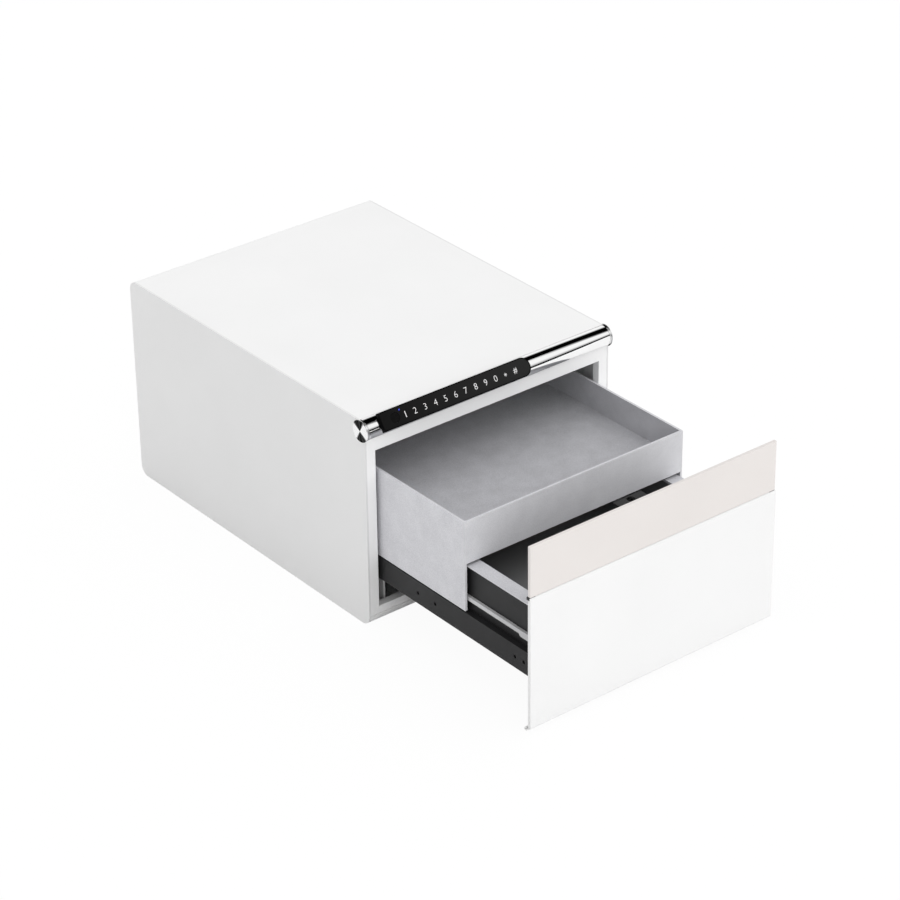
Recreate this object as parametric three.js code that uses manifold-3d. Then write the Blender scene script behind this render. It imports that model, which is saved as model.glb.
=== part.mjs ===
// Drawer safe for a bedside cabinet: a white steel body, a chrome tube with a touch keypad
// along its top front edge, and one drawer, shown open, with a sliding upper tray.
// Millimetres, +Z up. The origin is the middle of the underside, and the front faces -Y.
// Inside the body group Y is counted back from the front face of the body.

import * as THREE from 'three';
import { mergeVertices } from 'three/addons/utils/BufferGeometryUtils.js';
import Module from 'manifold-3d';

const wasm = await Module();
wasm.setup();

// Driving dimensions of the body
const bodyWidth = 320;
const bodyDepth = 414;
const bodyHeight = 238.5;
const bodySheet = 2;
const rearEdgeRadius = 11;
const frontHemRadius = 12;
const anchorHoleRadius = 5;
const anchorHoleSpacingX = 160;
const anchorHoleSetback = 300;
const rearAnchorHoleHeight = 150;

// Front frame and its opening
const frameSideWidth = 12.7;
const openingBottom = 20.6;
const openingTopDrop = 35.3;
const frameSheet = 2;
const frameLipDepth = 9;

// Chrome tube and the channel that it lies in
const tubeRadius = 11.5;
const tubeWall = 1.5;
const tubeAxisY = 5.8;
const tubeAxisDrop = 11.3;
const tubeGap = 0.1;
const tubeOverhang = 1.2;
const tubeEndInset = 2.2;
const capRadius = 12.3;
const capChamfer = 0.6;
const capPlugLength = 9;
const saddleSheet = 2;
const saddleFlangeHeight = 9;
const headerPlateDepth = 99;
const tubeScrewInset = 30;

// Touch keypad, in the tube's own frame: x along the tube, measured from the body's left side
const keypadStart = 15.9;
const keypadEnd = 210;
const keypadTilt = 35;
const keypadFaceRise = 1;
const keypadHalfWidth = 10.2;
const keypadStartRadius = 17;
const keypadCornerRadius = 2;
const keypadGlassThickness = 1.5;
const glassRim = 1.2;
const glassStartRim = 2.9;
const glassGap = 0.15;
const keypadFlangeOverlap = 4;
const keypadSlotHalfWidth = 8.2;
const keypadBodyDepth = 7;
const keypadBoardHalfWidth = 6.2;
const keypadBoardThickness = 1.6;
const sensorFromLeft = 35.2;
const sensorRadius = 5.4;
const lensFromLeft = 43;
const lensOffset = 5.9;
const lensRadius = 0.8;

// Drawer panel
const panelBottom = 6.5;
const panelTopDrop = 25.7;
const fasciaHeight = 55.8;
const panelSheet = 1.5;
const panelEdgeRadius = 3;
const panelReturnDepth = 3.8;
const panelNotchHeight = 3.5;
const panelLipSlope = 33;
const panelLipLength = 6;
const panelHookRadius = 1.9;
const panelHookReturn = 2.5;
const fasciaRecess = 1.2;
const fasciaThickness = 3.4;
const fasciaSetIn = 0.8;
const backingSetIn = 8;
const panelClosedGap = 0.5;
const panelScrewInset = 25.5;
const panelScrewInnerX = 40;

// Lower drawer box, its rims, guide strips and side rails
const boxFloor = 76.7;
const boxSheet = 1.2;
const boxRearRoom = 29;
const boxStopRise = 11;
const rimWidth = 16.4;
const rimLegHeight = 10.8;
const guideThickness = 3.2;
const guideRise = 12;
const guideHeight = 4.5;
const guideNoseDrop = 2.7;
const guideNoseStart = 4.5;
const guideNoseLength = 32;
const railSheet = 1.5;
const railHeight = 26.2;
const railFlangeWidth = 18.1;
const railHoleRadius = 2;
const railHolePitch = 27.2;
const railFrontHoleInset = 24;
const railFrontHolePitch = 13.4;
const railMiddleHoleShift = -2.4;
const railRearHoleInset = 35.6;

// Ball-bearing slides under the box
const slideFromFront = 12;
const slideEndRoom = 26;
const slideOverlapOpen = 111.5;
const slideDrop = 13.5;
const slideSheet = 1.3;
const outerHalfHeight = 11.5;
const innerHalfHeight = 7.5;
const innerDepth = 6.4;
const outerDepth = 7.3;
const outerSetIn = 2;
const ballRadius = 1.2;
const ballsPerRow = 5;
const cageSheet = 0.5;
const cageLength = 86;
const cageFromSlideEnd = 2;
const bracketSheet = 2;
const bracketFootWidth = 24;

// Upper tray
const trayOpeningGap = 4.3;
const trayTopGap = 23.6;
const traySheet = 2.4;
const trayRimGap = 1.9;
const trayEndHeight = 47.7;
const trayEndGap = 3.5;
const traySkirtGap = 1.5;
const trayInsideDepth = 32;
const trayFloorSheet = 1.5;
const traySetback = 119.8;
const trayStopGap = 0.6;
const runnerWidth = 12.5;
const runnerWeb = 2;
const runnerFlange = 2;
const runnerInset = 12;

// Lock
const boltY = 28.5;
const boltRadius = 3.5;
const boltLength = 36;
const boltTopGap = 2;
const boltTravel = 12;
const boltToStriker = 7;
const rackModule = 0.8;
const pinionTeeth = 10;
const toothFill = 0.8;
const addendumFactor = 0.75;
const dedendumFactor = 1.1;
const pressureAngle = 20;
const pinionWidth = 5;
const pinionToMotor = 3.5;
const pinionToHousing = 7;
const pinionAxisDrop = 17;
const rackPitchOffset = 2.6;
const motorLength = 26;
const motorHeight = 10;
const motorWidth = 12;
const gearboxLength = 9;
const motorShaftRadius = 1.5;
const lockHousingHeight = 31.5;
const lockHousingWall = 2;
const boltRoom = 1;
const guideFlangeRadius = 7;
const guideBodyRadius = 5.3;
const strikerSheet = 1.5;
const strikerHalfWidth = 18;
const strikerLegHeight = 7.5;
const strikerHoleRadius = 4.6;

// Batteries and electronics under the header plate
const cellRadius = 7.1;
const cellLength = 50;
const cellNubLength = 1.2;
const cellNubRadius = 2.7;
const cellCount = 4;
const caseWall = 1.6;
const caseSetIn = 10;
const caseFront = 26.5;
const caseHeight = 24;
const caseCoverSheet = 2;
const boardSetIn = 8;
const boardFront = 28.5;
const boardWidth = 100;
const boardDepth = 60;
const boardThickness = 1.6;
const boardDrop = 5;
const boardPostInset = 5;
const boardPostRadius = 2.5;
const capacitorPlace = [80, 40];
const capacitorRadius = 5;
const capacitorHeight = 11;
const cableRadius = 1.5;
const cableHoleRadius = 3;
const cableExitInset = 50;
const cableStartFromLeft = 190;
const cableRise = 12;

// Blocks under the control board: x and y from its corner, width, depth and height
const boardBlocks = [
  [42, 22, 14, 14, 2],
  [12, 34, 18, 14, 10],
];

// Clearances
const gap = 0.3;
const boreGap = 0.25;
const screwShankRadius = 2;
const screwHeadRadius = 3.75;
const screwHeadHeight = 2.4;

// How far a cutting shape runs past the faces that it cuts
const over = 1;

// Facet counts
const tubeFacets = 64;
const holeFacets = 24;
const smallFacets = 12;
const ballFacets = 8;
const cornerFacets = 8;
const cableSteps = 36;

// Values that follow from the driving dimensions: body and tube
const halfWidth = bodyWidth / 2;
const innerHalf = halfWidth - bodySheet;
const openingHalf = halfWidth - frameSideWidth;
const openingTop = bodyHeight - openingTopDrop;
const headerPlateBottom = bodyHeight - bodySheet - saddleSheet;
const tubeAxisZ = bodyHeight - tubeAxisDrop;
const tubeClearRadius = tubeRadius + tubeGap;
const saddleOuterRadius = tubeClearRadius + saddleSheet;
const tubeHalfLength = halfWidth - tubeEndInset;
const capNeckLength = tubeEndInset - gap + tubeGap;
const capLength = tubeEndInset - gap + tubeOverhang;
const frameTop = tubeAxisZ - Math.sqrt(tubeClearRadius ** 2 - tubeAxisY ** 2);

// Keypad
const keypadFaceHeight = tubeRadius + keypadFaceRise;
const keypadTurn = THREE.MathUtils.degToRad(90 - keypadTilt);
const keypadSeat = keypadFaceHeight - keypadGlassThickness;
const keypadBoardX0 = keypadStart + keypadFlangeOverlap + 2 * gap - halfWidth;
const keypadBoardX1 = keypadEnd - keypadFlangeOverlap - 2 * gap - halfWidth;
const keypadBoardZ = keypadSeat - 2 * gap - keypadBoardThickness;
const cableX = halfWidth - cableExitInset;

// Drawer, tray and slides
const boxLength = bodyDepth - bodySheet - boxRearRoom;
const slideLength = boxLength - slideEndRoom;
const drawerTravel = slideLength - slideOverlapOpen;
const panelTop = bodyHeight - panelTopDrop;
const fasciaBottom = panelTop - fasciaHeight;
const panelLipTurn = THREE.MathUtils.degToRad(panelLipSlope);
const panelHookCentre = lipPoint(panelLipLength, panelHookRadius);
const panelStandOff = panelHookCentre[0] + panelHookRadius + panelClosedGap;
const panelFrontOpen = -panelStandOff - drawerTravel;
const backingFront = fasciaRecess + fasciaThickness;
const backingBack = backingFront + panelSheet;
const boxFront = backingBack + gap;
const boxBack = boxFront + boxLength;
const trayHalfWidth = openingHalf - trayOpeningGap;
const trayTop = openingTop - trayTopGap;
const trayEndBottom = trayTop - trayEndHeight;
const trayFloorTop = trayTop - trayInsideDepth;
const traySkirtBottom = boxFloor + traySkirtGap;
const trayLength = boxBack - boxSheet - trayStopGap - traySetback;
const rimTop = trayEndBottom - trayEndGap;
const rimOuter = trayHalfWidth - traySheet - trayRimGap;
const boxStopTop = rimTop + boxStopRise;
const boxWallTop = rimTop - boxSheet;
const boxHalfWidth = rimOuter - guideThickness;
const wallInner = boxHalfWidth - boxSheet;
const guideBottom = boxFloor + guideRise;
const railOuter = trayHalfWidth;
const railInner = railOuter - railSheet;
const railFlangeInner = railOuter - railFlangeWidth;
const railTop = boxFloor;
const railBottom = railTop - railHeight;
const slideCentreZ = railTop - slideDrop;
const slideInDrawer = slideFromFront + panelStandOff;
const outerMemberWeb = railInner - outerSetIn - outerDepth;

// Lock
const pinionPitchRadius = (rackModule * pinionTeeth) / 2;
const pinionAxisY = boltY + rackPitchOffset + pinionPitchRadius;
const pinionAxisZ = headerPlateBottom - pinionAxisDrop;
const boltTop = headerPlateBottom - boltTopGap;
const boltTip = boltTop - boltLength;
const strikerTop = boltTip - boltToStriker;
const strikerLegBottom = strikerTop - strikerLegHeight;
const strikerHoleY = boltY + panelStandOff;
const toothPitch = Math.PI * rackModule;
const toothHalf = (toothPitch * toothFill) / 4;
const toothSlope = Math.tan(THREE.MathUtils.degToRad(pressureAngle));
const addendum = addendumFactor * rackModule;
const dedendum = dedendumFactor * rackModule;
const motorFront = pinionWidth / 2 + pinionToMotor;
const lockHousingBottom = headerPlateBottom - lockHousingHeight;
const lockHousingX0 = -pinionWidth / 2 - pinionToHousing;
const lockHousingX1 = motorFront + motorLength + gap + lockHousingWall;
const lockHousingY0 = boltY - boltRadius - boltRoom - lockHousingWall;
const lockHousingY1 = pinionAxisY + motorWidth / 2 + 2 * gap + lockHousingWall;

// Batteries and control board
const caseLeft = halfWidth - caseSetIn;
const caseRight = caseLeft - 2 * (caseWall + gap) - 2 * cellLength - gap;
const caseBack = caseFront + 2 * caseWall + 4 * cellRadius + 3 * gap;
const caseBottom = headerPlateBottom - caseHeight;
const caseRoof = caseBottom + 2 * cellRadius + 3 * gap;
const boardRight = halfWidth - boardSetIn;

// Materials
function paint(color, roughness, metalness) {
  return new THREE.MeshStandardMaterial({ color, roughness, metalness });
}

const materials = {
  whitePaint: paint(0xf4f4f4, 0.45, 0.0),
  greigePaint: paint(0xe6e0da, 0.5, 0.0),
  silverPaint: paint(0xb9bac0, 0.45, 0.4),
  darkPaint: paint(0x3a3b3e, 0.5, 0.2),
  chrome: paint(0xe8e8ea, 0.06, 1.0),
  brushedSteel: paint(0xb8babd, 0.3, 1.0),
  zincSteel: paint(0x9a9ca0, 0.4, 0.9),
  blackGloss: paint(0x141414, 0.08, 0.0),
  blackPlastic: paint(0x1c1c1d, 0.5, 0.0),
  lightPlastic: paint(0xc4c5c6, 0.55, 0.0),
  blueLens: paint(0x3a5fe0, 0.2, 0.0),
  boardGreen: paint(0x1d5a3a, 0.6, 0.0),
  cellSleeve: paint(0x8a8d92, 0.35, 0.3),
};

// Turning geometry into solids and back

function toSolid(geometry) {
  geometry.deleteAttribute('normal');
  geometry.deleteAttribute('uv');
  const merged = mergeVertices(geometry, 1e-4);
  const vertProperties = new Float32Array(merged.attributes.position.array);
  const triVerts = new Uint32Array(merged.index.array);
  return new wasm.Manifold(new wasm.Mesh({ numProp: 3, vertProperties, triVerts }));
}

function toGeometry(solid) {
  const mesh = solid.getMesh();
  const geometry = new THREE.BufferGeometry();
  geometry.setAttribute('position', new THREE.BufferAttribute(new Float32Array(mesh.vertProperties), 3));
  geometry.setIndex(new THREE.BufferAttribute(new Uint32Array(mesh.triVerts), 1));
  geometry.computeVertexNormals();
  return geometry;
}

function addPiece(group, name, solid, material) {
  const mesh = new THREE.Mesh(toGeometry(solid), material);
  mesh.name = name;
  group.add(mesh);
  return mesh;
}

// Basic solids

function box(x0, x1, y0, y1, z0, z1) {
  const geometry = new THREE.BoxGeometry(x1 - x0, y1 - y0, z1 - z0);
  geometry.translate((x0 + x1) / 2, (y0 + y1) / 2, (z0 + z1) / 2);
  return toSolid(geometry);
}

// A box on the +X side of the middle plane, or its mirror image on the -X side
function sideBox(side, x0, x1, y0, y1, z0, z1) {
  return side > 0 ? box(x0, x1, y0, y1, z0, z1) : box(-x1, -x0, y0, y1, z0, z1);
}

function rodX(x0, x1, y, z, radius, facets = holeFacets) {
  const geometry = new THREE.CylinderGeometry(radius, radius, x1 - x0, facets);
  geometry.rotateZ(Math.PI / 2);
  geometry.translate((x0 + x1) / 2, y, z);
  return toSolid(geometry);
}

function rodY(y0, y1, x, z, radius, facets = holeFacets) {
  const geometry = new THREE.CylinderGeometry(radius, radius, y1 - y0, facets);
  geometry.translate(x, (y0 + y1) / 2, z);
  return toSolid(geometry);
}

function rodZ(z0, z1, x, y, radius, facets = holeFacets) {
  const geometry = new THREE.CylinderGeometry(radius, radius, z1 - z0, facets);
  geometry.rotateX(Math.PI / 2);
  geometry.translate(x, y, (z0 + z1) / 2);
  return toSolid(geometry);
}

function extrude(shape, depth, curveSegments = cornerFacets) {
  return new THREE.ExtrudeGeometry(shape, { depth, bevelEnabled: false, curveSegments });
}

// A profile drawn in (y, z) and extruded along X
function extrudeX(shape, x0, x1, curveSegments) {
  const geometry = extrude(shape, x1 - x0, curveSegments);
  const turn = new THREE.Matrix4().makeBasis(
    new THREE.Vector3(0, 1, 0),
    new THREE.Vector3(0, 0, 1),
    new THREE.Vector3(1, 0, 0),
  );
  geometry.applyMatrix4(turn);
  geometry.translate(x0, 0, 0);
  return toSolid(geometry);
}

function polygon(points) {
  return new THREE.Shape(points.map(([x, y]) => new THREE.Vector2(x, y)));
}

function union(first, ...rest) {
  return rest.reduce((sum, solid) => sum.add(solid), first);
}

function cut(first, ...rest) {
  return rest.reduce((sum, solid) => sum.subtract(solid), first);
}

// The space that the tube takes, with its clearance and the corner in front of it
function tubeSpace() {
  const across = [-bodyWidth, bodyWidth];
  const round = rodX(...across, tubeAxisY, tubeAxisZ, tubeClearRadius, tubeFacets);
  return round.add(box(...across, -over, tubeAxisY, tubeAxisZ, bodyHeight + over));
}

// Body

function bodyOutline() {
  const d = bodyDepth - rearEdgeRadius;
  const shape = new THREE.Shape();
  shape.moveTo(frontHemRadius, 0);
  shape.lineTo(d, 0);
  shape.absarc(d, rearEdgeRadius, rearEdgeRadius, -Math.PI / 2, 0, false);
  shape.lineTo(bodyDepth, bodyHeight - rearEdgeRadius);
  shape.absarc(d, bodyHeight - rearEdgeRadius, rearEdgeRadius, 0, Math.PI / 2, false);
  shape.lineTo(0, bodyHeight);
  return shape;
}

// The round bottom front edge, from the front face down to the underside
function addFrontHem(shape) {
  shape.lineTo(0, frontHemRadius);
  shape.absarc(frontHemRadius, frontHemRadius, frontHemRadius, Math.PI, 1.5 * Math.PI, false);
}

function bodyWrap() {
  const d = bodyDepth - rearEdgeRadius;
  const innerRadius = rearEdgeRadius - bodySheet;
  const shape = bodyOutline();
  shape.lineTo(0, bodyHeight - bodySheet);
  shape.lineTo(d, bodyHeight - bodySheet);
  shape.absarc(d, bodyHeight - rearEdgeRadius, innerRadius, Math.PI / 2, 0, true);
  shape.absarc(d, rearEdgeRadius, innerRadius, 0, -Math.PI / 2, true);
  shape.lineTo(frontHemRadius, bodySheet);
  shape.absarc(frontHemRadius, frontHemRadius, frontHemRadius - bodySheet, 1.5 * Math.PI, Math.PI, true);
  addFrontHem(shape);
  let solid = extrudeX(shape, -innerHalf, innerHalf).subtract(tubeSpace());
  for (const side of [-1, 1]) {
    const x = (side * anchorHoleSpacingX) / 2;
    solid = solid.subtract(rodZ(-bodySheet, 2 * bodySheet, x, anchorHoleSetback, anchorHoleRadius));
    const rear = [bodyDepth - 2 * bodySheet, bodyDepth + bodySheet];
    solid = solid.subtract(rodY(...rear, x, rearAnchorHoleHeight, anchorHoleRadius));
  }
  return solid;
}

function sidePanel(side) {
  const x0 = side > 0 ? innerHalf : -halfWidth;
  const shape = bodyOutline();
  addFrontHem(shape);
  return extrudeX(shape, x0, x0 + bodySheet).subtract(tubeSpace());
}

function frontFrame() {
  const lipHalf = openingHalf + frameSheet;
  const plate = box(-innerHalf, innerHalf, 0, frameSheet, frontHemRadius + gap, frameTop);
  const lipBottom = openingBottom - frameSheet;
  const lip = box(-lipHalf, lipHalf, 0, frameLipDepth, lipBottom, openingTop + frameSheet);
  const through = [-over, frameLipDepth + over];
  const hole = box(-openingHalf, openingHalf, ...through, openingBottom, openingTop);
  return cut(union(plate, lip), hole, tubeSpace());
}

// Tube, its channel and end caps

function tubeScrewPlaces() {
  return [-1, 1].map((side) => side * (halfWidth - tubeScrewInset));
}

function tubeSaddle() {
  const reach = saddleOuterRadius + frameSheet;
  const top = bodyHeight - bodySheet;
  const ring = rodX(-innerHalf, innerHalf, tubeAxisY, tubeAxisZ, saddleOuterRadius, tubeFacets);
  const arcRoom = box(-innerHalf, innerHalf, frameSheet, tubeAxisY + reach, tubeAxisZ - reach, top);
  const flangeTop = tubeAxisZ - tubeClearRadius;
  const flangeBottom = flangeTop - saddleFlangeHeight;
  const flange = box(-innerHalf, innerHalf, frameSheet, frameSheet + saddleSheet, flangeBottom, flangeTop);
  const plate = box(-innerHalf, innerHalf, tubeAxisY, headerPlateDepth, headerPlateBottom, top);
  let solid = union(ring.intersect(arcRoom), flange, plate).subtract(tubeSpace());
  const through = [tubeAxisY, tubeAxisY + reach];
  for (const x of tubeScrewPlaces()) {
    solid = solid.subtract(rodY(...through, x, tubeAxisZ, screwShankRadius + gap));
  }
  return solid.subtract(rodY(...through, cableX, tubeAxisZ, cableHoleRadius));
}

function chromeTube() {
  const outer = rodX(-tubeHalfLength, tubeHalfLength, 0, 0, tubeRadius, tubeFacets);
  const bore = rodX(-bodyWidth, bodyWidth, 0, 0, tubeRadius - tubeWall, tubeFacets);
  const slot = box(
    keypadStart + keypadFlangeOverlap - halfWidth,
    keypadEnd - keypadFlangeOverlap - halfWidth,
    -keypadSlotHalfWidth,
    keypadSlotHalfWidth,
    0,
    2 * tubeRadius,
  );
  const flat = keypadPlate(keypadOutline(gap), keypadSeat - gap, 2 * tubeRadius);
  const turn = [THREE.MathUtils.radToDeg(keypadTurn), 0, 0];
  let solid = cut(outer, bore, slot.rotate(turn), flat.rotate(turn));
  for (const x of tubeScrewPlaces()) {
    solid = solid.subtract(rodY(0, 2 * tubeRadius, x, 0, screwShankRadius + gap));
  }
  return solid.subtract(rodY(0, 2 * tubeRadius, cableX, 0, cableHoleRadius));
}

function tubeEndCap(side) {
  const plugRadius = tubeRadius - tubeWall - gap;
  const outline = [
    [0, -capPlugLength],
    [plugRadius, -capPlugLength],
    [plugRadius, 0],
    [tubeRadius, 0],
    [tubeRadius, capNeckLength],
    [capRadius, capNeckLength],
    [capRadius, capLength - capChamfer],
    [capRadius - capChamfer, capLength],
    [0, capLength],
  ];
  const geometry = new THREE.LatheGeometry(outline.map(([r, h]) => new THREE.Vector2(r, h)), tubeFacets);
  geometry.rotateZ((-side * Math.PI) / 2);
  return toSolid(geometry);
}

function tubeScrew() {
  const headFront = saddleOuterRadius + gap;
  const shank = rodY(tubeRadius - 2 * tubeWall, headFront, 0, 0, screwShankRadius);
  return shank.add(rodY(headFront, headFront + screwHeadHeight, 0, 0, screwHeadRadius));
}

// Keypad, in the frame of the turned keypad group: x along the tube, z out of the face

// The right end is a half circle
function addKeypadEnd(shape, startX, w) {
  const x1 = keypadEnd - halfWidth - keypadHalfWidth;
  shape.moveTo(startX, -w);
  shape.lineTo(x1, -w);
  shape.absarc(x1, 0, w, -Math.PI / 2, Math.PI / 2, false);
  shape.lineTo(startX, w);
}

// The left end is slightly curved, with round corners
function keypadOutline(grow) {
  const w = keypadHalfWidth + grow;
  const r = keypadCornerRadius + grow;
  const startRadius = keypadStartRadius + grow;
  const centreX = keypadStart + keypadStartRadius - halfWidth;
  const cornerX = centreX - Math.sqrt((startRadius - r) ** 2 - (w - r) ** 2);
  const turn = Math.PI - Math.asin((w - r) / (startRadius - r));
  const shape = new THREE.Shape();
  addKeypadEnd(shape, cornerX, w);
  shape.absarc(cornerX, w - r, r, Math.PI / 2, turn, false);
  shape.absarc(centreX, 0, startRadius, turn, 2 * Math.PI - turn, false);
  shape.absarc(cornerX, r - w, r, 2 * Math.PI - turn, 1.5 * Math.PI, false);
  return shape;
}

function glassOutline(grow) {
  const w = keypadHalfWidth - glassRim + grow;
  const r = keypadCornerRadius + grow;
  const x0 = keypadStart + glassStartRim - halfWidth - grow;
  const shape = new THREE.Shape();
  addKeypadEnd(shape, x0 + r, w);
  shape.absarc(x0 + r, w - r, r, Math.PI / 2, Math.PI, false);
  shape.absarc(x0 + r, r - w, r, Math.PI, 1.5 * Math.PI, false);
  return shape;
}

function keypadPlate(outline, z0, z1) {
  const geometry = extrude(outline, z1 - z0, 2 * cornerFacets);
  geometry.translate(0, 0, z0);
  return toSolid(geometry);
}

function keypadHousing() {
  const bodyX0 = keypadStart + keypadFlangeOverlap + gap - halfWidth;
  const bodyX1 = keypadEnd - keypadFlangeOverlap - gap - halfWidth;
  const bodyHalf = keypadSlotHalfWidth - gap;
  const bottom = keypadSeat - keypadBodyDepth;
  const tubeRoom = rodX(-bodyWidth, bodyWidth, 0, 0, tubeClearRadius, tubeFacets);
  const block = keypadPlate(keypadOutline(0), 0, keypadFaceHeight);
  const glassRoom = keypadPlate(glassOutline(glassGap), keypadSeat, keypadFaceHeight + over);
  const flange = cut(block, tubeRoom, glassRoom);
  const body = box(bodyX0, bodyX1, -bodyHalf, bodyHalf, bottom, keypadSeat);
  const pocket = box(
    keypadBoardX0,
    keypadBoardX1,
    -keypadBoardHalfWidth - gap,
    keypadBoardHalfWidth + gap,
    keypadBoardZ - gap,
    keypadSeat + gap,
  );
  const ribbonHole = rodZ(bottom - gap, keypadSeat, cableStartFromLeft - halfWidth, 0, cableHoleRadius);
  return cut(union(flange, body), pocket, ribbonHole);
}

function keypadBoard() {
  return box(
    keypadBoardX0 + gap,
    keypadBoardX1 - gap,
    -keypadBoardHalfWidth,
    keypadBoardHalfWidth,
    keypadBoardZ,
    keypadBoardZ + keypadBoardThickness,
  );
}

function keypadGlass() {
  const through = [keypadSeat - over, keypadFaceHeight + over];
  const sensorHole = rodZ(...through, sensorFromLeft - halfWidth, 0, sensorRadius + gap);
  const lensHole = rodZ(...through, lensFromLeft - halfWidth, lensOffset, lensRadius + gap);
  return cut(keypadPlate(glassOutline(0), keypadSeat, keypadFaceHeight), sensorHole, lensHole);
}

function fingerprintSensor() {
  const bottom = keypadBoardZ + keypadBoardThickness + gap;
  const x = sensorFromLeft - halfWidth;
  return rodZ(bottom, keypadFaceHeight - gap, x, 0, sensorRadius, 2 * holeFacets);
}

function statusLens() {
  const x = lensFromLeft - halfWidth;
  return rodZ(keypadSeat, keypadFaceHeight, x, lensOffset, lensRadius, smallFacets);
}

// Drawer panel, with Y counted back from its front face

// A point of the bottom lip as (y, z): its distance along the lip and up from its lower face
function lipPoint(along, up) {
  const [c, s] = [Math.cos(panelLipTurn), Math.sin(panelLipTurn)];
  const rise = up - panelEdgeRadius;
  return [panelEdgeRadius + along * c + rise * s, panelBottom + panelEdgeRadius - along * s + rise * c];
}

// One sheet with a round top edge and flange. Its bottom lip slopes back to a hook.
function panelProfile() {
  const r = panelEdgeRadius;
  const top = fasciaBottom - gap;
  const hook = panelHookRadius;
  const lipStart = 1.5 * Math.PI - panelLipTurn;
  const hookEnds = [-Math.PI / 2 - panelLipTurn, Math.PI / 2 - panelLipTurn];
  const returnEnd = panelLipLength - panelHookReturn;
  const flangeBack = backingFront - gap;
  const shape = new THREE.Shape();
  shape.moveTo(0, top - r);
  shape.lineTo(0, panelBottom + r);
  shape.absarc(r, panelBottom + r, r, Math.PI, lipStart, false);
  shape.lineTo(...lipPoint(panelLipLength, 0));
  shape.absarc(...panelHookCentre, hook, ...hookEnds, false);
  shape.lineTo(...lipPoint(returnEnd, 2 * hook));
  shape.lineTo(...lipPoint(returnEnd, 2 * hook - panelSheet));
  shape.lineTo(...lipPoint(panelLipLength, 2 * hook - panelSheet));
  shape.absarc(...panelHookCentre, hook - panelSheet, hookEnds[1], hookEnds[0], true);
  shape.lineTo(...lipPoint(0, panelSheet));
  shape.absarc(r, panelBottom + r, r - panelSheet, lipStart, Math.PI, true);
  shape.lineTo(panelSheet, top - r);
  shape.absarc(r, top - r, r - panelSheet, Math.PI, Math.PI / 2, true);
  shape.lineTo(flangeBack, top - panelSheet);
  shape.lineTo(flangeBack, top);
  shape.lineTo(r, top);
  shape.absarc(r, top - r, r, Math.PI / 2, Math.PI, false);
  return shape;
}

function frontPanel() {
  let solid = extrudeX(panelProfile(), -halfWidth, halfWidth);
  const top = fasciaBottom - gap;
  const along = [panelSheet / 2, panelReturnDepth];
  const upright = [panelBottom + panelSheet, top - panelNotchHeight];
  for (const side of [-1, 1]) {
    solid = solid.add(sideBox(side, halfWidth - panelSheet, halfWidth, ...along, ...upright));
    solid = solid.subtract(panelNotch(side));
  }
  return solid;
}

// The room for a tab of the backing, behind the sheet's upper edge
function panelNotch(side) {
  const top = fasciaBottom - gap;
  const across = [halfWidth - backingSetIn, halfWidth + over];
  return sideBox(side, ...across, panelSheet, backingFront, top - panelNotchHeight, top + over);
}

// The tab of the backing at each end, with a gap all round
function backingTab(side) {
  const inner = halfWidth - backingSetIn;
  const outer = halfWidth - gap;
  const upright = [fasciaBottom - panelNotchHeight, fasciaBottom - 2 * gap];
  const arm = sideBox(side, inner - over, outer, backingFront, backingBack, ...upright);
  const block = sideBox(side, inner + gap, outer, panelSheet + gap, backingBack, ...upright);
  return arm.add(block);
}

function fasciaStrip() {
  const half = halfWidth - fasciaSetIn;
  return box(-half, half, fasciaRecess, backingFront, fasciaBottom, panelTop);
}

function panelScrewPlaces() {
  const z = (boxFloor + rimTop) / 2;
  const outer = boxHalfWidth - panelScrewInset;
  return [-outer, -panelScrewInnerX, panelScrewInnerX, outer].map((x) => [x, z]);
}

function panelBacking() {
  const half = halfWidth - backingSetIn;
  const upright = [panelBottom + 2 * panelEdgeRadius, panelTop - backingSetIn];
  let solid = box(-half, half, backingFront, backingBack, ...upright);
  for (const [x, z] of panelScrewPlaces()) {
    solid = solid.subtract(rodY(backingFront - over, backingBack + over, x, z, screwShankRadius + gap));
  }
  return union(solid, backingTab(-1), backingTab(1));
}

function panelScrew() {
  const headFront = boxFront + boxSheet + gap;
  const shank = rodY(panelSheet + gap, headFront, 0, 0, screwShankRadius);
  return shank.add(rodY(headFront, headFront + screwHeadHeight, 0, 0, screwHeadRadius));
}

function strikerPlate() {
  const end = strikerHoleY + strikerHoleRadius + strikerSheet;
  const across = [-strikerHalfWidth, strikerHalfWidth];
  const under = strikerTop - strikerSheet;
  const leg = box(...across, backingBack, backingBack + strikerSheet, strikerLegBottom, strikerTop);
  const plate = box(...across, backingBack, end, under, strikerTop);
  const hole = rodZ(under - over, strikerTop + over, 0, strikerHoleY, strikerHoleRadius);
  return cut(union(leg, plate), hole);
}

// Lower drawer box

// The floor and side walls, one sheet folded to a U
function lowerBox() {
  const along = [boxFront + boxSheet, boxBack - boxSheet];
  const outer = box(-boxHalfWidth, boxHalfWidth, ...along, boxFloor, boxWallTop);
  const through = [boxFront, boxBack];
  const room = box(-wallInner, wallInner, ...through, boxFloor + boxSheet, boxWallTop + over);
  return outer.subtract(room);
}

function boxFrontPlate() {
  const across = [-boxHalfWidth, boxHalfWidth];
  let solid = box(...across, boxFront, boxFront + boxSheet, boxFloor, boxWallTop);
  const through = [boxFront - over, boxFront + boxSheet + over];
  for (const [x, z] of panelScrewPlaces()) {
    solid = solid.subtract(rodY(...through, x, z, screwShankRadius + gap));
  }
  return solid;
}

// The rear plate stands above the walls and stops the tray
function boxRearPlate() {
  return box(-boxHalfWidth, boxHalfWidth, boxBack - boxSheet, boxBack, boxFloor, boxStopTop);
}

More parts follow.
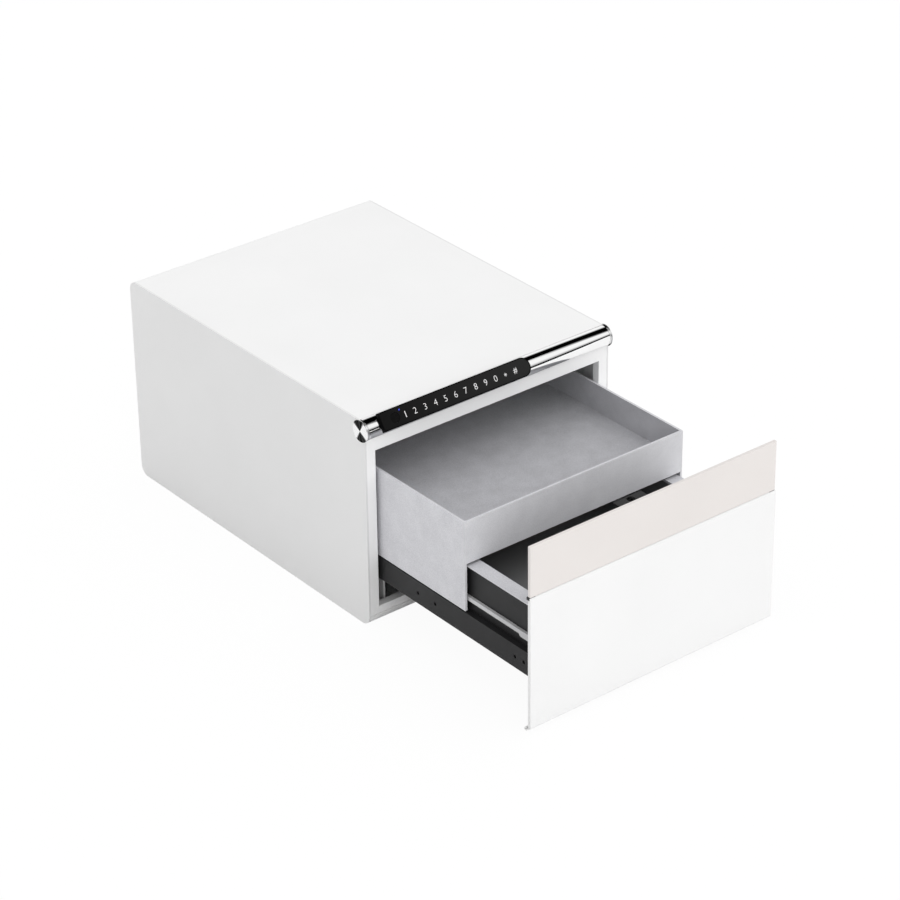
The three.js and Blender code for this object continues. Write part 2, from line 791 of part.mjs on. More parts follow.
function boxRim(side) {
  const y0 = boxFront + boxSheet + gap;
  const y1 = boxBack - boxSheet - gap;
  const top = sideBox(side, rimOuter - rimWidth, rimOuter, y0, y1, boxWallTop, rimTop);
  const leg = sideBox(side, wallInner - boxSheet, wallInner, y0, y1, boxWallTop - rimLegHeight, rimTop);
  return top.add(leg);
}

function guideStrip(side) {
  const y0 = boxFront + guideNoseStart;
  const y1 = boxBack - guideNoseStart;
  const noseHeight = guideHeight + guideNoseDrop;
  const r = noseHeight / 2;
  const noseTop = guideBottom + guideHeight;
  const centreZ = noseTop - r;
  const bar = sideBox(side, boxHalfWidth, rimOuter, y0 + r, y1, guideBottom, noseTop);
  const shape = new THREE.Shape();
  shape.moveTo(y0 + r, centreZ - r);
  shape.lineTo(y0 + guideNoseLength - r, centreZ - r);
  shape.absarc(y0 + guideNoseLength - r, centreZ, r, -Math.PI / 2, Math.PI / 2, false);
  shape.lineTo(y0 + r, centreZ + r);
  shape.absarc(y0 + r, centreZ, r, Math.PI / 2, 1.5 * Math.PI, false);
  const x0 = side > 0 ? boxHalfWidth : -rimOuter;
  return bar.add(extrudeX(shape, x0, x0 + rimOuter - boxHalfWidth));
}

function railHolePlaces() {
  const front = boxFront + railFrontHoleInset;
  const middle = (boxFront + boxBack) / 2 + railMiddleHoleShift;
  const rear = boxBack - railRearHoleInset;
  return [front, front + railFrontHolePitch, middle - railHolePitch, middle, rear - railHolePitch, rear];
}

function drawerRail(side) {
  const along = [boxFront, boxBack];
  const web = sideBox(side, railInner, railOuter, ...along, railBottom, railTop);
  const flange = sideBox(side, railFlangeInner, railOuter, ...along, railTop - railSheet, railTop);
  let solid = web.add(flange);
  const x0 = side > 0 ? railInner - over : -railOuter - over;
  const x1 = x0 + railSheet + 2 * over;
  for (const y of railHolePlaces()) {
    solid = solid.subtract(rodX(x0, x1, y, slideCentreZ, railHoleRadius, smallFacets));
  }
  return solid;
}

// Slides: the inner member rides on the drawer rail, the outer member is fixed to the bracket

function channel(side, webX, flangeTipX, halfHeight, y0, y1) {
  const webSide = webX < flangeTipX ? 1 : -1;
  const webInner = webX + webSide * slideSheet;
  const [a, b] = [Math.min(webX, webInner), Math.max(webX, webInner)];
  const [c, d] = [Math.min(webX, flangeTipX), Math.max(webX, flangeTipX)];
  const low = slideCentreZ - halfHeight;
  const high = slideCentreZ + halfHeight;
  return union(
    sideBox(side, a, b, y0, y1, low, high),
    sideBox(side, c, d, y0, y1, low, low + slideSheet),
    sideBox(side, c, d, y0, y1, high - slideSheet, high),
  );
}

function slideInnerMember(side) {
  const end = slideInDrawer + slideLength;
  return channel(side, railInner, railInner - innerDepth, innerHalfHeight, slideInDrawer, end);
}

function slideOuterMember(side) {
  const end = slideFromFront + slideLength;
  const tip = outerMemberWeb + outerDepth;
  return channel(side, outerMemberWeb, tip, outerHalfHeight, slideFromFront, end);
}

function slideBracket(side) {
  const along = [slideFromFront, slideFromFront + slideLength];
  const webInner = outerMemberWeb - bracketSheet;
  const footInner = webInner - bracketFootWidth;
  const top = slideCentreZ + outerHalfHeight;
  const web = sideBox(side, webInner, outerMemberWeb, ...along, bodySheet, top);
  const foot = sideBox(side, footInner, outerMemberWeb, ...along, bodySheet, bodySheet + bracketSheet);
  return web.add(foot);
}

function ballCage(side) {
  const y0 = slideFromFront + cageFromSlideEnd;
  const y1 = y0 + cageLength;
  const flangeMid = (innerHalfHeight + outerHalfHeight - slideSheet) / 2;
  const webX = outerMemberWeb + slideSheet + gap;
  const tipX = webX + innerDepth - slideSheet;
  const ballX = (webX + tipX) / 2;
  const strip = (sign) => {
    const z = slideCentreZ + sign * flangeMid;
    return sideBox(side, webX, tipX, y0, y1, z - cageSheet / 2, z + cageSheet / 2);
  };
  const webZ = [slideCentreZ - flangeMid, slideCentreZ + flangeMid];
  const web = sideBox(side, webX, webX + cageSheet, y0, y1, ...webZ);
  let solid = union(web, strip(-1), strip(1));
  for (let row = 0; row < 2 * ballsPerRow; row += 1) {
    const geometry = new THREE.SphereGeometry(ballRadius, ballFacets, ballFacets / 2);
    const sign = row < ballsPerRow ? -1 : 1;
    const y = y0 + ((row % ballsPerRow) + 0.5) * (cageLength / ballsPerRow);
    geometry.translate(side * ballX, y, slideCentreZ + sign * flangeMid);
    solid = solid.add(toSolid(geometry));
  }
  return solid;
}

// Upper tray, with Y counted back from its front face

function upperTray() {
  const inner = trayHalfWidth - traySheet;
  const back = trayLength - traySheet;
  const floorBottom = trayFloorTop - trayFloorSheet;
  const skirt = traySkirtBottom - over;
  const outer = box(-trayHalfWidth, trayHalfWidth, 0, trayLength, traySkirtBottom, trayTop);
  const room = box(-inner, inner, traySheet, back, trayFloorTop, trayTop + over);
  const under = box(-inner, inner, traySheet, back, trayEndBottom - over, floorBottom);
  const straddle = box(-inner, inner, -over, trayLength + over, skirt, trayEndBottom);
  return cut(outer, room, under, straddle);
}

function trayRunner(side) {
  const y0 = runnerInset;
  const y1 = trayLength - runnerInset;
  const x1 = rimOuter - gap - runnerFlange / 2;
  const x0 = x1 - runnerWidth;
  const mid = (x0 + x1) / 2;
  const bottom = rimTop + gap;
  const top = trayFloorTop - trayFloorSheet;
  return union(
    sideBox(side, mid - runnerWeb / 2, mid + runnerWeb / 2, y0, y1, bottom, top),
    sideBox(side, x0, x1, y0, y1, bottom, bottom + runnerFlange),
    sideBox(side, x0, x1, y0, y1, top - runnerFlange, top),
  );
}

// Lock

// The bolt is a round rod with a rack cut into its rear side
function lockBolt() {
  const rod = rodZ(boltTip, boltTop, 0, 0, boltRadius, 2 * holeFacets);
  const tipY = rackPitchOffset + addendum;
  const rootY = rackPitchOffset - dedendum;
  const rackBottom = pinionAxisZ - 2 * toothPitch;
  const flat = box(-boltRadius, boltRadius, tipY, 2 * boltRadius, rackBottom, boltTop + over);
  let solid = rod.subtract(flat);
  const gapHalf = toothPitch / 2;
  for (let z = pinionAxisZ - toothPitch; z < boltTop + toothPitch; z += toothPitch) {
    const pitchHalf = gapHalf - toothHalf;
    const groove = polygon([
      [rootY, z - pitchHalf + dedendum * toothSlope],
      [tipY + over, z - pitchHalf - (addendum + over) * toothSlope],
      [tipY + over, z + pitchHalf + (addendum + over) * toothSlope],
      [rootY, z + pitchHalf - dedendum * toothSlope],
    ]);
    solid = solid.subtract(extrudeX(groove, -boltRadius, boltRadius));
  }
  return solid;
}

// The pinion and its shaft, about the X axis, with one tooth pointing at the rack
function drivePinion() {
  const rootRadius = pinionPitchRadius - dedendum;
  const tipRadius = pinionPitchRadius + addendum;
  const rootHalf = toothHalf + dedendum * toothSlope;
  const tipHalf = toothHalf - addendum * toothSlope;
  const x0 = -pinionWidth / 2;
  let solid = rodX(x0, -x0, 0, 0, rootRadius, 2 * pinionTeeth);
  for (let tooth = 0; tooth < pinionTeeth; tooth += 1) {
    const angle = Math.PI + (2 * Math.PI * tooth) / pinionTeeth;
    const along = new THREE.Vector2(Math.cos(angle), Math.sin(angle));
    const across = new THREE.Vector2(-along.y, along.x);
    const corner = (r, half) => along.clone().multiplyScalar(r).addScaledVector(across, half);
    const shape = new THREE.Shape([
      corner(rootRadius / 2, -rootHalf / 2),
      corner(rootRadius, -rootHalf),
      corner(tipRadius, -tipHalf),
      corner(tipRadius, tipHalf),
      corner(rootRadius, rootHalf),
      corner(rootRadius / 2, rootHalf / 2),
    ]);
    solid = solid.add(extrudeX(shape, x0, -x0));
  }
  const shaftStart = lockHousingX0 + lockHousingWall + gap;
  return solid.add(rodX(shaftStart, motorFront - gap, 0, 0, motorShaftRadius));
}

function lockMotor() {
  const y0 = pinionAxisY - motorWidth / 2;
  const z0 = pinionAxisZ - motorHeight / 2;
  const canStart = motorFront + gearboxLength;
  const gearbox = box(motorFront, canStart, y0, y0 + motorWidth, z0, z0 + motorHeight);
  const can = rodX(canStart, motorFront + motorLength, pinionAxisY, pinionAxisZ, motorHeight / 2);
  return gearbox.add(can);
}

function lockHousing() {
  const w = lockHousingWall;
  const floor = lockHousingBottom + w;
  const innerY = [lockHousingY0 + w, lockHousingY1 - w];
  const outer = box(
    lockHousingX0,
    lockHousingX1,
    lockHousingY0,
    lockHousingY1,
    lockHousingBottom,
    headerPlateBottom,
  );
  const room = box(lockHousingX0 + w, lockHousingX1 - w, ...innerY, floor, headerPlateBottom + over);
  const guideTop = floor + w + gap;
  const guideHole = rodZ(lockHousingBottom - over, guideTop, 0, boltY, guideBodyRadius + gap);
  const cradleTop = pinionAxisZ - motorHeight / 2 - gap;
  const cradleX1 = motorFront + gearboxLength;
  const cradle = box(motorFront, cradleX1, ...innerY, floor - w / 2, cradleTop);
  return union(cut(outer, room, guideHole), cradle);
}

function boltGuide() {
  const flangeTop = lockHousingBottom - gap;
  const bottom = flangeTop - lockHousingWall;
  const top = lockHousingBottom + 2 * lockHousingWall;
  const flange = rodZ(bottom, flangeTop, 0, boltY, guideFlangeRadius);
  const body = rodZ(bottom, top, 0, boltY, guideBodyRadius);
  const bore = rodZ(boltTip - boltTravel, boltTop, 0, boltY, boltRadius + boreGap, 2 * holeFacets);
  return cut(union(flange, body), bore);
}

// Batteries and electronics

function batteryCase() {
  const outer = box(-caseLeft, -caseRight, caseFront, caseBack, caseBottom, headerPlateBottom);
  const innerX = [-caseLeft + caseWall, -caseRight - caseWall];
  const innerY = [caseFront + caseWall, caseBack - caseWall];
  const cells = box(...innerX, ...innerY, caseBottom - over, caseRoof);
  const above = box(...innerX, ...innerY, caseRoof + caseWall, headerPlateBottom + over);
  return cut(outer, cells, above);
}

function batteryCover() {
  return box(-caseLeft, -caseRight, caseFront, caseBack, caseBottom - caseCoverSheet, caseBottom);
}

function batteryCell(column, row) {
  const x0 = -caseLeft + caseWall + gap + column * (cellLength + gap);
  const y = caseFront + caseWall + gap + cellRadius + row * (2 * cellRadius + gap);
  const z = caseBottom + gap + cellRadius;
  const canEnd = x0 + cellLength - cellNubLength;
  const can = rodX(x0, canEnd, y, z, cellRadius);
  return can.add(rodX(canEnd, canEnd + cellNubLength, y, z, cellNubRadius));
}

function controlBoard() {
  const x0 = boardRight - boardWidth;
  const y1 = boardFront + boardDepth;
  const top = headerPlateBottom - boardDrop;
  const bottom = top - boardThickness;
  const middle = (top + bottom) / 2;
  let solid = box(x0, boardRight, boardFront, y1, bottom, top);
  for (const x of [x0 + boardPostInset, boardRight - boardPostInset]) {
    for (const y of [boardFront + boardPostInset, y1 - boardPostInset]) {
      solid = solid.add(rodZ(middle, headerPlateBottom, x, y, boardPostRadius, smallFacets));
    }
  }
  for (const [x, y, width, depth, height] of boardBlocks) {
    const left = x0 + x;
    const front = boardFront + y;
    solid = solid.add(box(left, left + width, front, front + depth, bottom - height, middle));
  }
  const [x, y] = capacitorPlace;
  return solid.add(rodZ(bottom - capacitorHeight, middle, x0 + x, boardFront + y, capacitorRadius));
}

// From the keypad, along the inside of the tube, out of its rear and up to the control board
function keypadCable() {
  const x0 = cableStartFromLeft - halfWidth;
  const x1 = cableX;
  const out = keypadSeat - keypadBodyDepth - gap - cableRadius;
  const tilt = THREE.MathUtils.degToRad(keypadTilt);
  const startY = tubeAxisY - Math.cos(tilt) * out;
  const startZ = tubeAxisZ + Math.sin(tilt) * out;
  const boardBottom = headerPlateBottom - boardDrop - boardThickness;
  const endZ = boardBottom - gap - cableRadius;
  const path = new THREE.CatmullRomCurve3(
    [
      [x0, startY, startZ],
      [x0 + cableRise, startY, startZ],
      [x0 + 3 * cableRise, tubeAxisY, tubeAxisZ],
      [x1 - cableRise, tubeAxisY, tubeAxisZ],
      [x1, tubeAxisY + tubeRadius, tubeAxisZ],
      [x1, tubeAxisY + tubeRadius + cableRise, endZ - 2 * gap],
      [x1, boardFront + cableRise, endZ - gap],
      [x1, boardFront + 2 * cableRise, endZ - gap],
    ].map((point) => new THREE.Vector3(...point)),
    false,
    'centripetal',
  );
  const section = new THREE.Shape();
  section.absarc(0, 0, cableRadius, 0, 2 * Math.PI, false);
  const geometry = new THREE.ExtrudeGeometry(section, {
    steps: cableSteps,
    curveSegments: ballFacets / 2,
    extrudePath: path,
  });
  return toSolid(geometry);
}

// The scene graph

const safe = new THREE.Group();
const body = new THREE.Group();
body.position.y = -bodyDepth / 2;
safe.add(body);

addPiece(body, 'body_wrap', bodyWrap(), materials.whitePaint);
addPiece(body, 'side_panel_left', sidePanel(-1), materials.whitePaint);
addPiece(body, 'side_panel_right', sidePanel(1), materials.whitePaint);
addPiece(body, 'front_frame', frontFrame(), materials.whitePaint);
addPiece(body, 'tube_saddle', tubeSaddle(), materials.whitePaint);

const tube = new THREE.Group();
tube.position.set(0, tubeAxisY, tubeAxisZ);
body.add(tube);
addPiece(tube, 'chrome_tube', chromeTube(), materials.chrome);
for (const [word, side] of [['left', -1], ['right', 1]]) {
  const cap = addPiece(tube, `tube_end_cap_${word}`, tubeEndCap(side), materials.brushedSteel);
  cap.position.x = side * (tubeHalfLength + gap);
  const screw = addPiece(tube, `tube_screw_${word}`, tubeScrew(), materials.zincSteel);
  screw.position.x = side * (halfWidth - tubeScrewInset);
}

const keypad = new THREE.Group();
keypad.rotation.x = keypadTurn;
tube.add(keypad);
addPiece(keypad, 'keypad_housing', keypadHousing(), materials.blackPlastic);
addPiece(keypad, 'keypad_circuit_board', keypadBoard(), materials.boardGreen);
addPiece(keypad, 'keypad_glass', keypadGlass(), materials.blackGloss);
addPiece(keypad, 'fingerprint_sensor', fingerprintSensor(), materials.blackPlastic);
addPiece(keypad, 'status_lens', statusLens(), materials.blueLens);

addPiece(body, 'keypad_cable', keypadCable(), materials.blackPlastic);
addPiece(body, 'control_board', controlBoard(), materials.boardGreen);
addPiece(body, 'battery_case', batteryCase(), materials.blackPlastic);
addPiece(body, 'battery_cover', batteryCover(), materials.blackPlastic);
for (let cell = 0; cell < cellCount; cell += 1) {
  const solid = batteryCell(cell % 2, Math.floor(cell / 2));
  addPiece(body, `battery_cell_${cell + 1}`, solid, materials.cellSleeve);
}

addPiece(body, 'lock_housing', lockHousing(), materials.blackPlastic);
addPiece(body, 'bolt_guide', boltGuide(), materials.brushedSteel);
addPiece(body, 'lock_motor', lockMotor(), materials.zincSteel);
const bolt = addPiece(body, 'lock_bolt', lockBolt(), materials.brushedSteel);
bolt.position.y = boltY;
const pinion = addPiece(body, 'drive_pinion', drivePinion(), materials.brushedSteel);
pinion.position.set(0, pinionAxisY, pinionAxisZ);

for (const [word, side] of [['left', -1], ['right', 1]]) {
  addPiece(body, `slide_bracket_${word}`, slideBracket(side), materials.zincSteel);
  addPiece(body, `slide_outer_member_${word}`, slideOuterMember(side), materials.darkPaint);
  addPiece(body, `ball_cage_${word}`, ballCage(side), materials.zincSteel);
}

const drawer = new THREE.Group();
drawer.position.y = panelFrontOpen;
body.add(drawer);
addPiece(drawer, 'front_panel', frontPanel(), materials.whitePaint);
addPiece(drawer, 'fascia_strip', fasciaStrip(), materials.greigePaint);
addPiece(drawer, 'panel_backing', panelBacking(), materials.darkPaint);
addPiece(drawer, 'striker_plate', strikerPlate(), materials.zincSteel);
addPiece(drawer, 'lower_box', lowerBox(), materials.darkPaint);
addPiece(drawer, 'box_front_plate', boxFrontPlate(), materials.darkPaint);
addPiece(drawer, 'box_rear_plate', boxRearPlate(), materials.darkPaint);
panelScrewPlaces().forEach(([x, z], index) => {
  const screw = addPiece(drawer, `panel_screw_${index + 1}`, panelScrew(), materials.zincSteel);
  screw.position.set(x, 0, z);
});
for (const [word, side] of [['left', -1], ['right', 1]]) {
  addPiece(drawer, `box_rim_${word}`, boxRim(side), materials.silverPaint);
  addPiece(drawer, `guide_strip_${word}`, guideStrip(side), materials.lightPlastic);
  addPiece(drawer, `drawer_rail_${word}`, drawerRail(side), materials.darkPaint);
  addPiece(drawer, `slide_inner_member_${word}`, slideInnerMember(side), materials.darkPaint);
}

const tray = new THREE.Group();
tray.position.y = traySetback;
drawer.add(tray);
addPiece(tray, 'tray', upperTray(), materials.silverPaint);
for (const [word, side] of [['left', -1], ['right', 1]]) {
  addPiece(tray, `tray_runner_${word}`, trayRunner(side), materials.lightPlastic);
}

export default safe;
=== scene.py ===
# Looks of the drawer safe: materials, the smooth chrome tube, the keypad's marks, the studio
# and the camera. Metres, in the frame of the CAD model: +Z up, the drawer opens toward -Y.
import math

import bmesh
import bpy
from mathutils import Matrix, Vector


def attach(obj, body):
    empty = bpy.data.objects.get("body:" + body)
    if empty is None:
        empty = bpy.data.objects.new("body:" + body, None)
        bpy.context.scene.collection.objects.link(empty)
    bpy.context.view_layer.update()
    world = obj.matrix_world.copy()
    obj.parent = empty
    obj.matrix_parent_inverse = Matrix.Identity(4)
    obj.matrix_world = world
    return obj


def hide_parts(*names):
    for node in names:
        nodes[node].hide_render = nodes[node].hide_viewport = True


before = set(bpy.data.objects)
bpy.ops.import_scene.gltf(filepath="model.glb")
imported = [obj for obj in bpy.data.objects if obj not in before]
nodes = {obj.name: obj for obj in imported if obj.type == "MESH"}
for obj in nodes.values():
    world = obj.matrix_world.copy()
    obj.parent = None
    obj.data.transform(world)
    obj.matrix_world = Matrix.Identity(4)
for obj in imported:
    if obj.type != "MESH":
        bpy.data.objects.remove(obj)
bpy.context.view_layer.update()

MM = 0.001
BODY_FRONT = -207.0
HALF_WIDTH = 160.0
TUBE_Y = BODY_FRONT + 5.8
TUBE_Z = 227.2
TUBE_RADIUS = 11.5
TUBE_HALF = 157.8
CAP_RADIUS = 12.3
# Width of the bright ring at the cap's rim: a painted highlight
CAP_PAINTED_RIM = 0.45
KEYPAD_TILT = 35.0
KEYPAD_FACE = 12.5
KEYPAD_SEAT = 11.0
KEYPAD_START = 15.9
KEYPAD_START_RADIUS = 17.0
KEYPAD_CORNER = 2.0
KEYPAD_END = 210.0
KEYPAD_HALF = 10.2
KEYPAD_GAP = 0.25
SEAT_DEPTH = 0.3
SEAT_EDGE = 0.3

# The rooms in the tray and in the drawer box as low and high corners, where painted shade and painted
# light go on the inner faces, and a plane just behind the tray's front, before which painted light
# goes on the forward faces, in metres
TRAY_SHADE_ROOM = ((-0.141, -0.341, 0.147), (0.141, -0.07, 0.181))
BOX_LIGHT_ROOM = ((-0.136, -0.4555, 0.0765), (0.136, -0.073, 0.14))
PAINTED_LIGHT_FRONT_Y = -0.3418


# Materials

class Nodes:
    """A node tree with short ways to add to it. A value is a number or a socket."""

    def __init__(self, tree):
        self.tree = tree

    def node(self, kind, **settings):
        made = self.tree.nodes.new(kind)
        for key, value in settings.items():
            setattr(made, key, value)
        return made

    def link(self, a, b):
        self.tree.links.new(a, b)

    def put(self, value, socket):
        if isinstance(value, (int, float)):
            socket.default_value = value
        else:
            self.link(value, socket)

    def math(self, operation, *values):
        made = self.node("ShaderNodeMath", operation=operation)
        for value, socket in zip(values, made.inputs):
            self.put(value, socket)
        return made.outputs[0]

    def plain(self, kind, level):
        """A shader of one grey."""
        made = self.node(kind)
        made.inputs["Color"].default_value = (level, level, level, 1)
        return made.outputs[0]

    def mix(self, factor, first, second):
        made = self.node("ShaderNodeMixShader")
        self.put(factor, made.inputs["Fac"])
        self.link(first, made.inputs[1])
        self.link(second, made.inputs[2])
        return made.outputs[0]


class Shader(Nodes):
    """A material with a Principled shader."""

    def __init__(self, name, **sockets):
        self.material = bpy.data.materials.new(name)
        self.material.use_nodes = True
        super().__init__(self.material.node_tree)
        self.bsdf = self.tree.nodes["Principled BSDF"]
        for key, value in sockets.items():
            self.bsdf.inputs[key.replace("_", " ")].default_value = value

    def coords(self, scale=(1, 1, 1)):
        where = self.node("ShaderNodeTexCoord")
        mapping = self.node("ShaderNodeMapping")
        mapping.inputs["Scale"].default_value = scale
        self.link(where.outputs["Object"], mapping.inputs["Vector"])
        return mapping.outputs["Vector"]

    def noise(self, scale, detail=2.0, rough=0.5, stretch=(1, 1, 1)):
        made = self.node("ShaderNodeTexNoise")
        made.inputs["Scale"].default_value = scale
        made.inputs["Detail"].default_value = detail
        made.inputs["Roughness"].default_value = rough
        self.link(self.coords(stretch), made.inputs["Vector"])
        return made.outputs["Fac"]

    def noise_along(self, value, scale, detail=2.0):
        """Noise that changes with one value only."""
        made = self.node("ShaderNodeTexNoise", noise_dimensions="1D")
        made.inputs["Scale"].default_value = scale
        made.inputs["Detail"].default_value = detail
        self.link(value, made.inputs["W"])
        return made.outputs["Fac"]

    def spread(self, value, low, high, start=0.3, end=0.7):
        """value mapped from start..end to low..high."""
        made = self.node("ShaderNodeMapRange")
        made.inputs["From Min"].default_value = start
        made.inputs["From Max"].default_value = end
        made.inputs["To Min"].default_value = low
        made.inputs["To Max"].default_value = high
        self.link(value, made.inputs["Value"])
        return made.outputs["Result"]

    def roughness(self, value):
        self.link(value, self.bsdf.inputs["Roughness"])

    def tone(self, value, dark, light):
        """Base colour between two colours."""
        made = self.node("ShaderNodeMix", data_type="RGBA")
        made.inputs[6].default_value = (*dark, 1)
        made.inputs[7].default_value = (*light, 1)
        self.link(value, made.inputs["Factor"])
        self.link(made.outputs[2], self.bsdf.inputs["Base Color"])
        return made

    def bump(self, value, strength, distance=0.0002):
        made = self.node("ShaderNodeBump")
        made.inputs["Strength"].default_value = strength
        made.inputs["Distance"].default_value = distance
        self.link(value, made.inputs["Height"])
        self.link(made.outputs["Normal"], self.bsdf.inputs["Normal"])
        return made


def grey(level, tint=(1.0, 1.0, 1.0)):
    return tuple(level * t for t in tint)


def powder_coat(name, dark, light, rough, orange_peel=0.12, peel_scale=650.0):
    """Powder-coated sheet: a fine orange peel and a slight change of gloss over the sheet."""
    shader = Shader(name)
    shader.tone(shader.spread(shader.noise(9.0, 3.0), 0, 1), dark, light)
    shader.roughness(shader.spread(shader.noise(14.0, 4.0), rough - 0.04, rough + 0.05))
    shader.bump(shader.noise(peel_scale, 1.0), orange_peel, 0.00006)
    return shader


def speckled_coat(name, dark, light, rough):
    """Silver-grey coat whose fine flakes show as a light and dark speckle."""
    shader = Shader(name, Metallic=0.0)
    flakes = shader.noise(1500.0, 3.0, 0.65)
    clouds = shader.noise(60.0, 2.0)
    both = shader.math("MULTIPLY_ADD", clouds, 0.25, flakes)
    shader.tone(shader.spread(both, 0, 1, 0.45, 0.82), dark, light)
    shader.roughness(shader.spread(flakes, rough - 0.08, rough + 0.1))
    shader.bump(flakes, 0.1, 0.00005)
    return shader


def brushed(name, level, along, rough=0.28):
    """Metal with fine brush lines; along stretches the lines on one axis."""
    shader = Shader(name, Metallic=1.0)
    lines = shader.noise(1.0, 3.0, 0.6, along)
    shader.tone(shader.spread(lines, 0, 1), grey(level * 0.82), grey(level * 1.08))
    shader.roughness(shader.spread(lines, rough - 0.06, rough + 0.08))
    shader.bump(lines, 0.15, 0.00003)
    return shader


def moulded(name, colour, rough, grain=0.08):
    """Moulded plastic with a fine spark-eroded grain."""
    shader = Shader(name)
    dark = [c * 0.9 for c in colour]
    light = [c * 1.1 for c in colour]
    shader.tone(shader.spread(shader.noise(40.0, 3.0), 0, 1), dark, light)
    shader.roughness(shader.spread(shader.noise(220.0, 2.0), rough - 0.05, rough + 0.06))
    shader.bump(shader.noise(1800.0, 1.0), grain, 0.00005)
    return shader


def polished_chrome():
    shader = Shader("polished_chrome", Metallic=1.0)
    shader.tone(shader.spread(shader.noise(30.0, 2.0), 0, 1), grey(0.90), grey(0.94))
    shader.roughness(shader.spread(shader.noise(55.0, 3.0), 0.012, 0.03))
    return shader


def around_tube(shader):
    """The angle about the tube's axis and the distance from it."""
    where = shader.node("ShaderNodeTexCoord")
    shift = shader.node("ShaderNodeVectorMath", operation="SUBTRACT")
    shift.inputs[1].default_value = (0, TUBE_Y * MM, TUBE_Z * MM)
    shader.link(where.outputs["Object"], shift.inputs[0])
    parts = shader.node("ShaderNodeSeparateXYZ")
    shader.link(shift.outputs[0], parts.inputs[0])
    angle = shader.math("ARCTAN2", parts.outputs["Y"], parts.outputs["Z"])
    flat = shader.node("ShaderNodeCombineXYZ")
    shader.link(parts.outputs["Y"], flat.inputs["Y"])
    shader.link(parts.outputs["Z"], flat.inputs["Z"])
    distance = shader.node("ShaderNodeVectorMath", operation="LENGTH")
    shader.link(flat.outputs[0], distance.inputs[0])
    return angle, distance.outputs["Value"]


def cap_painted_reflection():
    """End cap turned on a lathe, with fine rings; the bright and dark wedges, the light streaks and
    the bright ring at the rim are a painted reflection in the base colour.
    """
    shader = Shader("cap_painted_reflection", Metallic=1.0, Specular_IOR_Level=0.0)
    angle, distance = around_tube(shader)
    # Painted reflection: bright and dark wedges by the angle about the axis, light streaks, and a
    # bright ring at the rim
    painted_wedge_wave = shader.math("COSINE", shader.math("MULTIPLY_ADD", angle, 2.0, math.radians(-29.5)))
    uneven = shader.math("MULTIPLY_ADD", shader.noise_along(angle, 14.0, 3.0), 0.5, painted_wedge_wave)
    wedges = shader.spread(uneven, 1, 0, 0.12, 0.5)
    painted_streaks = shader.spread(shader.noise_along(angle, 9.0, 1.0), 0, 0.12, 0.52, 0.68)
    rim_start = (CAP_RADIUS - CAP_PAINTED_RIM) * MM
    rim = shader.spread(distance, 0, 0.8, rim_start, rim_start + 0.00015)
    light = shader.math("MAXIMUM", shader.math("MAXIMUM", wedges, painted_streaks), rim)
    shader.tone(light, grey(0.006), grey(0.92))
    shader.link(light, shader.bsdf.inputs["Metallic"])
    rings = shader.noise_along(distance, 2600.0)
    shader.roughness(shader.spread(rings, 0.2, 0.34))
    shader.bump(rings, 0.12, 0.00003)
    return shader


def painted_reflection_along_keypad(shader):
    """0 at the keypad's left end and 1 at its right end, with a slight unevenness, for a reflection
    painted into the keypad glass's colour.
    """
    where = shader.node("ShaderNodeTexCoord")
    parts = shader.node("ShaderNodeSeparateXYZ")
    shader.link(where.outputs["Object"], parts.inputs[0])
    uneven = shader.math("MULTIPLY_ADD", shader.noise(20.0, 2.0), 0.02, parts.outputs["X"])
    start = (KEYPAD_START - HALF_WIDTH) * MM
    end = (KEYPAD_END - HALF_WIDTH) * MM
    return shader.spread(uneven, 0, 1, start, end)


# One white coat in four tones. The side panels and the drawer panel are darker as painted shade, and
# the front frame is lighter as painted light, so that each face shows an even level of light
white_coat = powder_coat("white_coat", grey(0.86), grey(0.88), 0.42)
side_coat_painted_shade = powder_coat("side_white_painted_shade", grey(0.77), grey(0.79), 0.42)
panel_coat_painted_shade = powder_coat("panel_white_painted_shade", grey(0.83), grey(0.85), 0.42)
frame_coat_painted_light = powder_coat("frame_white_painted_light", grey(0.94), grey(0.96), 0.42)
strip_coat = powder_coat("greige_coat", (0.735, 0.698, 0.677), (0.754, 0.717, 0.696), 0.5, 0.16)
tray_coat = speckled_coat("silver_coat", (0.54, 0.54, 0.57), (0.75, 0.75, 0.78), 0.5)
# A lighter copy of the silver coat for the tray's forward faces: painted light
tray_front_painted_light = speckled_coat("silver_coat_front_painted_light", (0.74, 0.74, 0.77), (0.94, 0.94, 0.97), 0.5)
# A darker copy of the silver coat for the faces inside the tray: painted shade
tray_inside_painted_shade = speckled_coat("silver_coat_inside_painted_shade", (0.38, 0.38, 0.40), (0.58, 0.58, 0.61), 0.5)
# A much lighter copy of the charcoal coat for the faces inside the drawer box: painted light in its
# deep shade
box_inside_painted_light = powder_coat("charcoal_inside_painted_light", (0.22, 0.22, 0.225), (0.27, 0.27, 0.275), 0.6, 0.2, 900.0)
dark_coat = powder_coat("charcoal_coat", (0.016, 0.016, 0.017), (0.024, 0.024, 0.025), 0.5, 0.2, 900.0)
dark_coat.bsdf.inputs["Specular IOR Level"].default_value = 0.3
slide_coat = brushed("black_zinc", 0.06, (60, 6, 60), 0.4)
zinc = brushed("zinc_plate", 0.42, (40, 8, 40), 0.38)
bracket_coat = powder_coat("bracket_coat", grey(0.62), grey(0.68), 0.5)
steel = brushed("brushed_steel", 0.62, (300, 300, 20), 0.25)
chrome = polished_chrome()
cap_face_painted_reflection = cap_painted_reflection()
glass = Shader("touch_panel_painted_reflection", Roughness=0.16, Specular_IOR_Level=0.09)
